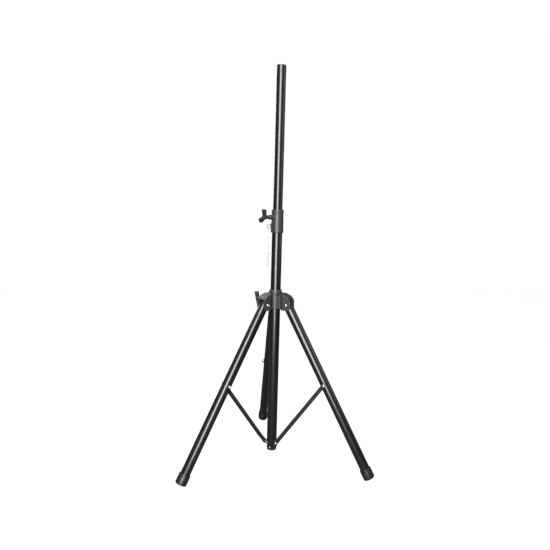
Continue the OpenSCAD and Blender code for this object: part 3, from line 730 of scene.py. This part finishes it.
def makeKnob(name, node, body, s):
    place = outward(s["azimuth"], s["height"])
    cut = placed(lathed(dimple, 40), place, shift(0, 0, s["face"] - dimpleDepth))
    moulded(name, node, body, "knob_plastic", s, cuts=[cut])


makeKnob("collar_knob_grip", "collar_clamp_knob", "collar_knob", collarKnob)
makeKnob("hub_knob_grip", "hub_clamp_knob", "hub_knob", hubKnob)
print("collar and knobs made")


# sliding hub

hub = {"voxel": 0.75, "passes": 4, "betweenArms": (270, 30, 150), "ridgeTurn": 24}
sleeveRidge = block((20.6, -1.1, 593.5), (22.4, 1.1, 641))  # down the sleeve, beside an arm


def makeHub(s):
    ribs = []
    for azimuth in s["betweenArms"]:
        for side in (-1, 1):
            ribs.append(placed(sleeveRidge, turnZ(azimuth + side * s["ridgeTurn"])))
    moulded("leg_hub_moulding", "leg_hub", "sliding_hub", "hub_plastic", s, extra=ribs)


makeHub(hub)

hubRing = {"bore": 19.3, "flange": 24, "low": 645, "high": 664}


def makeHubRing(s):
    low, high, r = s["low"], s["high"], s["flange"]
    profile = [(s["bore"], low, 0.3), (r, low, 0.4), (r, high - 6, 1.2), (22.3, high - 3.6, 0.8),
               (22, high - 0.9, 0.8), (21.2, high, 0.5), (s["bore"], high, 0.4)]
    newPiece("hub_flange_ring", lathed(profile, 128), "sliding_hub", "hub_plastic", "hub_top_ring")


makeHubRing(hubRing)
print("hub made")


# bolts, rivets and washers

def domeHead(radius, height, socket=0.0):  # stands on z 0
    points = [(0, 0, 0), (radius, 0, 0.25), (radius, height * 0.35, 0.35)]
    for a in (20, 40, 60, 75):
        points.append((radius * (0.42 + 0.56 * math.cos(math.radians(a))),
                       height * (0.35 + 0.65 * math.sin(math.radians(a))), 0.3))
    if socket:
        points += [(socket * 1.12, height, 0.15), (socket, height - 0.3, 0), (socket, height * 0.3, 0),
                   (0, height * 0.3, 0)]
    else:
        points.append((0, height, 0))
    return lathed(points, 48, 3)


def shank(radius, low, high):
    return lathed([(0, low, 0), (radius, low, 0.2), (radius, high, 0.2), (0, high, 0)], 32)


def acrossAt(azimuth, radius, height, side):  # local +Z points along +Y of the arm, or along -Y
    return turnZ(azimuth) @ shift(radius, 0, height) @ turnX(-90 * side)


pivots = {"reach": 50, "height": 609, "earFace": 22.6, "shank": 4, "head": 6, "headHeight": 3.4,
          "socket": 2.3}


def makePivots(s):
    bolts, caps = [], []
    for az in legAngles.values():
        spot = acrossAt(az, s["reach"], s["height"], 1)
        bolts += [placed(shank(s["shank"], -s["earFace"], s["earFace"] + 0.2), spot),
                  placed(domeHead(s["head"], s["headHeight"], s["socket"]), spot,
                         shift(0, 0, s["earFace"]))]
        caps.append(placed(domeHead(s["head"], s["headHeight"]),
                           acrossAt(az, s["reach"], s["height"], -1), shift(0, 0, s["earFace"])))
    newPiece("leg_pivot_button_bolts", together(*bolts), "sliding_hub", "chrome", "leg_pivot_bolts")
    newPiece("leg_pivot_cap_nuts", together(*caps), "sliding_hub", "chrome", "leg_pivot_nuts")


makePivots(pivots)

strutPins = {"reach": 22.5, "height": 70, "outer": 17.4, "inner": 5, "shank": 4, "rivetHeight": 50}


def makeStrutPins(s):
    forms, rivets = [], []
    for az in legAngles.values():
        near, far = acrossAt(az, s["reach"], s["height"], 1), acrossAt(az, s["reach"], s["height"], -1)
        forms += [placed(shank(s["shank"], s["inner"] - 10, s["outer"] + 0.1), far),
                  placed(domeHead(5, 2.8), far, shift(0, 0, s["outer"])),
                  placed(domeHead(3.5, 2), near, shift(0, 0, -s["inner"]))]
    newPiece("strut_pivot_rivets", together(*forms), "mast_base", "chrome", "strut_pivot_bolts")
    for az in (0, 120, 240):
        rivets += [placed(shank(2, 14, 19.4), outward(az, s["rivetHeight"])),
                   placed(domeHead(3.6, 2), outward(az, s["rivetHeight"]), shift(0, 0, 19.05))]
    newPiece("bottom_hub_pop_rivets", together(*rivets), "mast_base", "chrome", "bottom_hub_rivets")


makeStrutPins(strutPins)


# legs, drawn along local +Z from their pivot

leg = {"radius": 17.5, "wall": 1.2, "top": -12, "tilt": 29.3, "boltAt": 321, "footEnd": 688.27,
       "pivotReach": 50, "pivotHeight": 609}
foot = {"radius": 20.75, "length": 37, "edge": 4, "sole": 5}


def legPlace(azimuth, s):
    return turnZ(azimuth) @ shift(s["pivotReach"], 0, s["pivotHeight"]) @ turnY(180 - s["tilt"])


def footProfile(s, bore):
    r, n = s["radius"], s["length"]
    points = [(0, 0.9, 0), (4.5, 0.9, 0.3), (5, 0, 0.3), (8, 0, 0.3), (8.5, 0.9, 0.3), (10.5, 0.9, 0.3),
              (11, 0, 0.3), (r - 4, 0, 0)]
    points += [(r - s["edge"] + s["edge"] * math.sin(math.radians(a)),
                s["edge"] - s["edge"] * math.cos(math.radians(a)), 0)
               for a in range(15, 91, 15)]
    points += [(r, n - 10, 0.4), (r - 0.9, n - 9.2, 0.4), (r - 0.9, n - 7.4, 0.4), (r, n - 6.6, 0.5),
               (r, n - 1.6, 1.0),
               (r - 1.0, n, 0.6), (bore, n, 0.3), (bore, s["sole"], 0), (0, s["sole"], 0)]
    return points


def makeLeg(side, s, f):
    body, place, r = "leg_" + side, legPlace(legAngles[side], s), s["radius"]
    end = s["footEnd"] - f["sole"]
    tube = lathed([(r - s["wall"], s["top"], 0.3), (r, s["top"], 0.45), (r, end, 0.4),
                   (r - s["wall"], end, 0.3)], 112)
    holes = [placed(shank(4.06, -25, 25), shift(0, 0, z), turnX(-90)) for z in (0, s["boltAt"])]
    newPiece("leg_tube_" + side + "_coated", tube, body, "tube_paint", "leg_tube_" + side, place,
             cuts=holes)
    plug = [(0, s["top"] - 1.5, 0), (12, s["top"] - 1.5, 0.8), (r - 0.2, s["top"] - 0.9, 0.5),
            (r - 0.2, s["top"], 0.1), (16.3, s["top"], 0), (16.3, s["top"] + 30, 1), (0, s["top"] + 30, 0)]
    newPiece("leg_end_plug_" + side, lathed(plug, 80), body, "plug_plastic", "leg_top_plug_" + side, place,
             cuts=[placed(shank(4.06, -25, 25), turnX(-90))])
    newPiece("rubber_foot_" + side, placed(lathed(footProfile(f, r), 96), place,
                                           shift(0, 0, s["footEnd"]), turnX(180)), body,
             "foot_rubber", "foot_" + side)
    bolt = together(placed(shank(4, -r - 0.4, r + 2), shift(0, 0, s["boltAt"]), turnX(-90)),
                    placed(domeHead(6, 6.2, 2.3), shift(0, 0, s["boltAt"]), turnX(-90),
                           shift(0, 0, r + 1.8)))
    newPiece("leg_button_bolt_" + side, bolt, body, "chrome", "leg_bolt_" + side, place)
    washer = placed(lathed([(4.06, r, 0.2), (9.5, r, 0.5), (9.5, r + 1.8, 0.7), (4.06, r + 1.8, 0.3)],
                           56), shift(0, 0, s["boltAt"]), turnX(-90))
    newPiece("leg_spacer_" + side, washer, body, "washer_plastic", "leg_washer_" + side, place)


for side in legAngles:
    makeLeg(side, leg, foot)
print("legs made")


# struts, drawn along local +Z from their lower pivot

strut = {"angle": 35.47095922, "length": 318.1024840, "pivotReach": 22.5, "pivotHeight": 70, "depth": 15,
         "thickness": 4.2,
         "footSide": 13, "topSide": 18.3, "joggleFrom": 12, "joggleTo": 38, "grooveWidth": 5.5,
         "grooveDepth": 1.1, "edge": 0.9}


def strutSection(s, half, faceY, groove):  # one closed ring across the bar
    t, e = s["thickness"], min(s["edge"], half * 0.45)
    width = min(s["grooveWidth"] / 2, half * 0.6)
    upper = []
    for a in (0, 30, 60, 90):
        c, d = math.cos(math.radians(a)), math.sin(math.radians(a))
        upper.append((-half + e - e * c, faceY - e + e * d))
    for x, deep in ((-width - 0.5, 0), (-width, 0.15), (-width * 0.72, 0.85), (-width * 0.4, 1), (0, 1),
                    (width * 0.4, 1), (width * 0.72, 0.85), (width, 0.15), (width + 0.5, 0)):
        upper.append((max(min(x, half - e), e - half), faceY - groove * deep))
    for a in (90, 60, 30, 0):
        c, d = math.cos(math.radians(a)), math.sin(math.radians(a))
        upper.append((half - e + e * c, faceY - e + e * d))
    middle = faceY - t / 2
    return upper + [(x, 2 * middle - y) for x, y in reversed(upper)]


def smoothStep(x):
    x = min(max(x, 0), 1)
    return x * x * (3 - 2 * x)


def strutForm(s):
    half, n = s["depth"] / 2, s["length"]
    stations = [half * -math.cos(math.radians(a)) for a in (4, 12, 20, 30, 40, 50, 60, 70, 80)]
    stations += [0, 6, 10] + list(range(12, 39, 2)) + [42, 48, 50, 52, 54,
        56] + list(range(70, 290, 20)) + [294, 296, 298, 300, 302, 306, n]
    stations += [n + half * math.cos(math.radians(a)) for a in (80, 70, 60, 50, 40, 30, 20, 12, 4)]
    rings = []
    for z in stations:
        past = -z if z < 0 else z - n if z > n else 0
        wide = math.sqrt(max(half * half - past * past, 0.3))
        face = -(s["footSide"] + (s["topSide"] - s["footSide"])
                 * smoothStep((z - s["joggleFrom"]) / (s["joggleTo"] - s["joggleFrom"])))
        groove = s["grooveDepth"] * smoothStep((z - 48) / 8) * smoothStep((n + 18 - 30 - z + 8) / 8)
        rings.append((z, strutSection(s, wide, face, groove)))
    count = len(rings[0][1])
    verts = [(x, y, z) for z, ring in rings for x, y in ring]
    faces = [tuple(range(count)), tuple(range(len(verts) - 1, len(verts) - count - 1, -1))]
    for i in range(len(rings) - 1):
        for k in range(count):
            m = (k + 1) % count
            faces.append((i * count + k, (i + 1) * count + k, (i + 1) * count + m, i * count + m))
    return verts, faces


def makeStrut(side, s):
    place = turnZ(legAngles[side]) @ shift(s["pivotReach"], 0, s["pivotHeight"]) @ turnY(s["angle"])
    holes = [placed(shank(4.06, -5, 32), turnX(90)),
             placed(shank(4.0, -5, 32), shift(0, 0, s["length"]), turnX(90))]
    newPiece("strut_bar_" + side, strutForm(s), "brace_" + side, "strut_paint", "strut_" + side, place,
             sharp=40, cuts=holes)
    outer = s["topSide"] + s["thickness"]
    head = together(placed(shank(4, s["topSide"] + 0.1, outer + 0.1), shift(0, 0, s["length"]), turnX(90)),
                    placed(domeHead(6, 3.4), shift(0, 0, s["length"]), turnX(90), shift(0, 0, outer)))
    newPiece("strut_cap_nut_" + side, head, "brace_" + side, "chrome", "strut_bolt_head_" + side, place)


for side in legAngles:
    makeStrut(side, strut)
print("struts made")


# bottom hub

bottomHub = {"voxel": 0.5, "passes": 4}
moulded("bottom_hub_moulding", "bottom_hub", "mast_base", "hub_plastic", bottomHub)

endPlug = {"radius": 12, "low": 39, "high": 51}


def makeEndPlug(s):
    profile = [(0, s["low"] + 1.2, 0), (8, s["low"] + 1.2, 0.5), (8.6, s["low"], 0.5),
               (s["radius"] - 0.1, s["low"], 0.8), (s["radius"], s["high"], 0.5), (0, s["high"], 0)]
    newPiece("mast_end_cap", lathed(profile, 64), "mast_base", "plug_plastic", "mast_end_plug")


makeEndPlug(endPlug)
print("bottom hub made")


# studio: pale floor, soft boxes

studio = {"floorSize": 9.0, "floorColour": (0.1, 0.1, 0.099, 1), "ambient": 0.06, "backdrop": 1.0,
          "lift": 0.97}
softBoxes = [
    {"name": "keyBox", "place": (-0.62, -2.3, 1.32), "aim": (0, 0, 0.95), "size": (1.1, 2.5), "power": 150},
    {"name": "topBox", "place": (-0.35, -1.3, 2.9), "aim": (0, 0, 0.6), "size": (1.3, 1.5), "power": 80},
    {"name": "rightFill", "place": (2.3, -0.6, 1.7), "aim": (0, 0, 0.8), "size": (0.7, 1.6), "power": 10},
    {"name": "backFill", "place": (-1.2, 2.3, 1.9), "aim": (0, 0, 0.8), "size": (0.9, 1.8), "power": 30},
]


def makeStudio(s, boxes):
    size = s["floorSize"]
    count = 24
    verts = [(x * size / count - size / 2, y * size / count - size / 2,
              0) for y in range(count + 1) for x in range(count + 1)]
    faces = [(y * (count + 1) + x, y * (count + 1) + x + 1, (y + 1) * (count + 1) + x + 1,
              (y + 1) * (count + 1) + x)
             for y in range(count) for x in range(count)]
    mesh = bpy.data.meshes.new("studioFloor")
    mesh.from_pydata(verts, [], faces)
    floor = bpy.data.objects.new("studioFloor", mesh)
    scene.collection.objects.link(floor)
    paper = bpy.data.materials.new("floorPaper")
    paper.use_nodes = True
    shader = paper.node_tree.nodes["Principled BSDF"]
    shader.inputs["Base Color"].default_value = s["floorColour"]
    shader.inputs["Roughness"].default_value = 0.9
    seenFloor = addNode(paper.node_tree, "LightPath")
    shader.inputs["Emission Color"].default_value = (1, 1, 1, 1)
    glow = calculate(paper.node_tree, "MULTIPLY", seenFloor.outputs["Is Camera Ray"], s["lift"])
    paper.node_tree.links.new(glow, shader.inputs["Emission Strength"])
    mesh.materials.append(paper)
    world = bpy.data.worlds.new("studioAir")
    world.use_nodes = True
    tree = world.node_tree
    seen = addNode(tree, "LightPath")
    strength = rangeMap(tree, seen.outputs["Is Camera Ray"], 0.0, 1.0, s["ambient"], s["backdrop"])
    tree.nodes["Background"].inputs["Color"].default_value = (1, 1, 1, 1)
    tree.links.new(strength, tree.nodes["Background"].inputs["Strength"])
    scene.world = world
    for box in boxes:
        data = bpy.data.lights.new(box["name"], "AREA")
        data.shape, data.energy = "RECTANGLE", box["power"]
        data.size, data.size_y = box["size"]
        lamp = bpy.data.objects.new(box["name"], data)
        scene.collection.objects.link(lamp)
        lamp.location = box["place"]
        lamp.rotation_euler = (Vector(box["aim"]) - Vector(box["place"])).to_track_quat("-Z",
                "Y").to_euler()


makeStudio(studio, softBoxes)
scene.view_settings.view_transform = "Standard"
print("studio lit")

bpy.context.view_layer.update()
